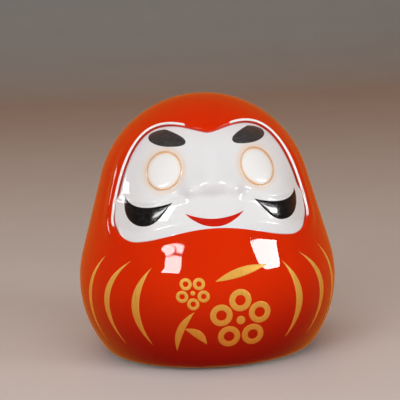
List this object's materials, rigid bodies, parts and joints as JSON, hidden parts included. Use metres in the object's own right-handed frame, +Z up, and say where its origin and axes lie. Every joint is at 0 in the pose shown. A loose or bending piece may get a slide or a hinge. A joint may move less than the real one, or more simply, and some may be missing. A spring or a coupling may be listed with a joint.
{
  "type": "daruma coin bank",
  "caption": "Round hollow ceramic daruma figure with a red glazed hood, sunken white face, gold brush strokes, coin slot at the back of the head and a stopper in the base.",
  "frame": {"origin": "on the table under the middle of the doll", "axes": "+Z up through the crown, -Y the way the face looks, +X to the viewer's right"},
  "size_m": [0.104, 0.1042, 0.104],
  "materials": {
    "white_porcelain": "clear glossy glaze over white slip-cast ceramic, bare and matt on the foot ring",
    "red_glaze": "deep glossy orange-red glaze",
    "black_enamel": "glossy black overglaze enamel",
    "brown_line": "thin pale brown underglaze line",
    "red_enamel": "glossy red enamel",
    "gold_lustre": "brushed-on fired gold, satin",
    "stopper_rubber": "soft translucent white rubber, matt"
  },
  "bodies": {
    "doll": {"ceramic_body": "white_porcelain", "red_glaze": "red_glaze", "eyebrow_left": "black_enamel", "eyebrow_right": "black_enamel", "eye_outline_left": "brown_line", "eye_outline_right": "brown_line", "moustache_left": "black_enamel", "moustache_right": "black_enamel", "mouth": "red_enamel", "gold_blossom": "gold_lustre", "gold_stroke_left_1": "gold_lustre", "gold_stroke_left_2": "gold_lustre", "gold_stroke_left_3": "gold_lustre", "gold_stroke_right_1": "gold_lustre", "gold_stroke_right_2": "gold_lustre", "gold_stroke_right_3": "gold_lustre"},
    "stopper": {"base_stopper": "stopper_rubber"}
  },
  "joints": [
    {"name": "stopper_pull", "type": "slide", "parent": "doll", "child": "stopper", "axis": [0, 0, -1], "range_m": [0, 0.015]}
  ]
}
